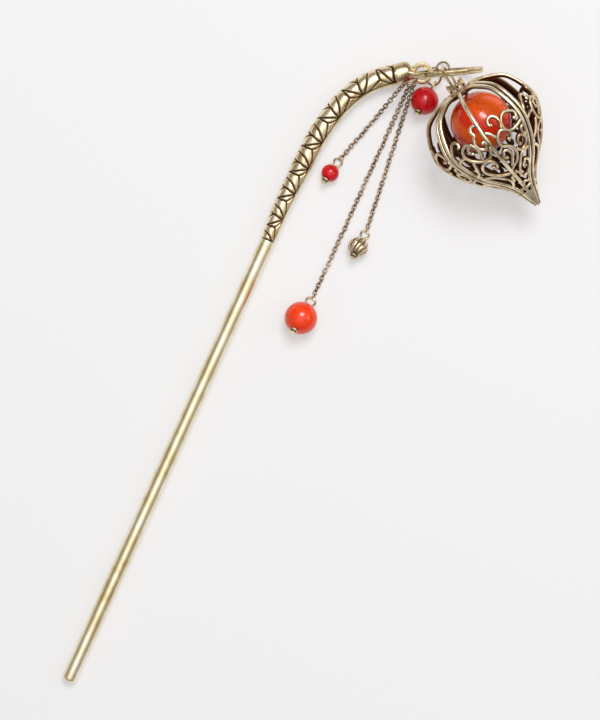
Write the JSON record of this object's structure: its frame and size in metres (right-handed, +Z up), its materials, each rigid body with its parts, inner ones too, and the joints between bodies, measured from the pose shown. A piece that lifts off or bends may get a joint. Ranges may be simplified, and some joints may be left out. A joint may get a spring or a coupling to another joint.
{
  "type": "hair pin",
  "caption": "Antique brass hair stick with a carved curved neck, a split ring, chain drops with beads, and an openwork lantern cage holding a loose glass ball.",
  "frame": {"origin": "middle of the footprint, on the level surface the pin lies on", "axes": "+X along the straight shaft from its tip towards the head, +Y to the outer side of the neck's bend, +Z up from the surface it lies on"},
  "size_m": [0.1638, 0.0544, 0.0268],
  "materials": {
    "shaft_brass": "satin antique gold plating, worn and finely pitted",
    "carved_brass": "satin antique brass with near-black patina in the recesses",
    "ring_brass": "satin antique brass wire",
    "chain_brass": "dark antique brass",
    "cage_brass": "cast antique brass, dark patina in the recesses",
    "fluted_bead_brass": "cast antique brass",
    "red_glass": "glossy deep red glass",
    "orange_glass": "glossy orange glass",
    "ball_glass": "polished banded orange-red stone or glass"
  },
  "bodies": {
    "stick": {"stick_shaft": "shaft_brass", "carved_neck": "carved_brass", "end_collar": "ring_brass", "eye_loop": "ring_brass"},
    "split_ring": {"split_ring": "ring_brass"},
    "chain_hanger": {"chain_hanger": "chain_brass"},
    "bead_ring": {"bead_ring": "chain_brass"},
    "red_pin": {"red_head_pin": "chain_brass", "red_bead_cap": "chain_brass"},
    "red_bead": {"red_bead": "red_glass"},
    "side_ring": {"side_ring": "chain_brass"},
    "cage_link": {"cage_link": "ring_brass"},
    "cage": {"cage_crown": "cage_brass", "hanging_pin": "cage_brass", "petal_front": "cage_brass", "petal_right": "cage_brass", "petal_back": "cage_brass", "petal_left": "cage_brass"},
    "cage_ball": {"cage_ball": "ball_glass"},
    "short_chain_1": {"short_chain_1": "chain_brass"},
    "short_chain_2": {"short_chain_2": "chain_brass"},
    "short_pin": {"short_head_pin": "chain_brass", "short_bead_cap": "chain_brass"},
    "short_bead": {"short_bead": "red_glass"},
    "long_chain_1": {"long_chain_1": "chain_brass"},
    "long_chain_2": {"long_chain_2": "chain_brass"},
    "long_chain_3": {"long_chain_3": "chain_brass"},
    "long_chain_4": {"long_chain_4": "chain_brass"},
    "long_chain_5": {"long_chain_5": "chain_brass"},
    "long_pin": {"long_head_pin": "chain_brass", "long_bead_cap": "chain_brass"},
    "long_bead": {"long_bead": "orange_glass"},
    "middle_chain_1": {"middle_chain_1": "chain_brass"},
    "middle_chain_2": {"middle_chain_2": "chain_brass"},
    "middle_chain_3": {"middle_chain_3": "chain_brass"},
    "middle_pin": {"middle_head_pin": "chain_brass", "middle_bead_cap": "chain_brass"},
    "middle_bead": {"middle_bead": "fluted_bead_brass"}
  },
  "joints": [
    {"name": "split_ring_swing", "type": "hinge", "parent": "stick", "child": "split_ring", "pos_m": [0.07645, 0.00719, 0.00295], "axis": [0.8711, 0.4911, 0], "range_deg": [-4, 20]},
    {"name": "chain_hanger_swing", "type": "hinge", "parent": "split_ring", "child": "chain_hanger", "pos_m": [0.07345, 0.01094, 0.00757], "axis": [-0.4459, 0.8951, 0], "range_deg": [-4, 35]},
    {"name": "short_chain_1_bend", "type": "hinge", "parent": "chain_hanger", "child": "short_chain_1", "pos_m": [0.07177, 0.01134, 0.00654], "axis": [0.285, 0.9585, 0], "range_deg": [-15, 20]},
    {"name": "short_chain_2_bend", "type": "hinge", "parent": "short_chain_1", "child": "short_chain_2", "pos_m": [0.06129, 0.01446, 0.00062], "axis": [0.2821, 0.9594, 0], "range_deg": [-15, 20]},
    {"name": "short_pin_swing", "type": "hinge", "parent": "short_chain_2", "child": "short_pin", "pos_m": [0.05047, 0.01764, 0.00033], "axis": [0.1908, 0.9816, 0], "range_deg": [-30, 60]},
    {"name": "short_bead_turn", "type": "hinge", "parent": "short_pin", "child": "short_bead", "pos_m": [0.04665, 0.01838, 0.00203], "axis": [-0.8997, 0.1749, 0.4], "continuous": true},
    {"name": "long_chain_1_bend", "type": "hinge", "parent": "chain_hanger", "child": "long_chain_1", "pos_m": [0.07186, 0.01026, 0.00622], "axis": [0.0007, 1, 0], "range_deg": [-15, 20]},
    {"name": "long_chain_2_bend", "type": "hinge", "parent": "long_chain_1", "child": "long_chain_2", "pos_m": [0.06144, 0.01026, 0.00062], "axis": [0.0007, 1, 0], "range_deg": [-15, 20]},
    {"name": "long_chain_3_bend", "type": "hinge", "parent": "long_chain_2", "child": "long_chain_3", "pos_m": [0.05102, 0.01027, 0.00062], "axis": [0.0007, 1, 0], "range_deg": [-15, 20]},
    {"name": "long_chain_4_bend", "type": "hinge", "parent": "long_chain_3", "child": "long_chain_4", "pos_m": [0.0406, 0.01028, 0.00062], "axis": [0.0007, 1, 0], "range_deg": [-15, 20]},
    {"name": "long_chain_5_bend", "type": "hinge", "parent": "long_chain_4", "child": "long_chain_5", "pos_m": [0.03018, 0.01029, 0.00062], "axis": [0.0041, 1, 0], "range_deg": [-15, 20]},
    {"name": "long_pin_swing", "type": "hinge", "parent": "long_chain_5", "child": "long_pin", "pos_m": [0.01942, 0.01033, 0.00033], "axis": [0.1045, 0.9945, 0], "range_deg": [-30, 60]},
    {"name": "long_bead_turn", "type": "hinge", "parent": "long_pin", "child": "long_bead", "pos_m": [0.0142, 0.01088, 0.00373], "axis": [-0.8345, 0.0877, 0.544], "continuous": true},
    {"name": "middle_chain_1_bend", "type": "hinge", "parent": "chain_hanger", "child": "middle_chain_1", "pos_m": [0.07251, 0.00947, 0.00641], "axis": [-0.1168, 0.9932, 0], "range_deg": [-3, 20]},
    {"name": "middle_chain_2_bend", "type": "hinge", "parent": "middle_chain_1", "child": "middle_chain_2", "pos_m": [0.06117, 0.00814, 0.00062], "axis": [-0.1168, 0.9932, 0], "range_deg": [-15, 20]},
    {"name": "middle_chain_3_bend", "type": "hinge", "parent": "middle_chain_2", "child": "middle_chain_3", "pos_m": [0.04982, 0.00681, 0.00062], "axis": [-0.1113, 0.9938, 0], "range_deg": [-15, 20]},
    {"name": "middle_pin_swing", "type": "hinge", "parent": "middle_chain_3", "child": "middle_pin", "pos_m": [0.03813, 0.00549, 0.00033], "axis": [0.0698, 0.9976, 0], "range_deg": [-30, 60]},
    {"name": "middle_bead_turn", "type": "hinge", "parent": "middle_pin", "child": "middle_bead", "pos_m": [0.03405, 0.00578, 0.00233], "axis": [-0.896, 0.0627, 0.4396], "continuous": true},
    {"name": "bead_ring_swing", "type": "hinge", "parent": "split_ring", "child": "bead_ring", "pos_m": [0.07691, 0.00657, 0.00139], "axis": [-0.5049, 0.8114, 0.2945], "range_deg": [-10, 20]},
    {"name": "red_pin_swing", "type": "hinge", "parent": "bead_ring", "child": "red_pin", "pos_m": [0.07431, 0.00541, 0.00122], "axis": [0.0872, 0.9962, 0], "range_deg": [-20, 30]},
    {"name": "red_bead_turn", "type": "hinge", "parent": "red_pin", "child": "red_bead", "pos_m": [0.07007, 0.00578, 0.00321], "axis": [-0.9188, 0.0804, 0.3865], "continuous": true},
    {"name": "side_ring_swing", "type": "hinge", "parent": "split_ring", "child": "side_ring", "pos_m": [0.07805, 0.00465, 0.00103], "axis": [0.4931, -0.8698, -0.0173], "range_deg": [-25, 40]},
    {"name": "cage_link_swing", "type": "hinge", "parent": "split_ring", "child": "cage_link", "pos_m": [0.07584, 0.00404, 0.01684], "axis": [-0.4786, 0.8738, -0.0863], "range_deg": [-2, 18]},
    {"name": "cage_swing", "type": "hinge", "parent": "cage_link", "child": "cage", "pos_m": [0.0745, 0.00093, 0.01515], "axis": [-0.8346, 0.5111, -0.2057], "range_deg": [-2, 22]},
    {"name": "cage_ball_roll", "type": "hinge", "parent": "cage", "child": "cage_ball", "pos_m": [0.06945, -0.00792, 0.01364], "axis": [-0.4901, -0.8593, -0.1464], "continuous": true}
  ]
}
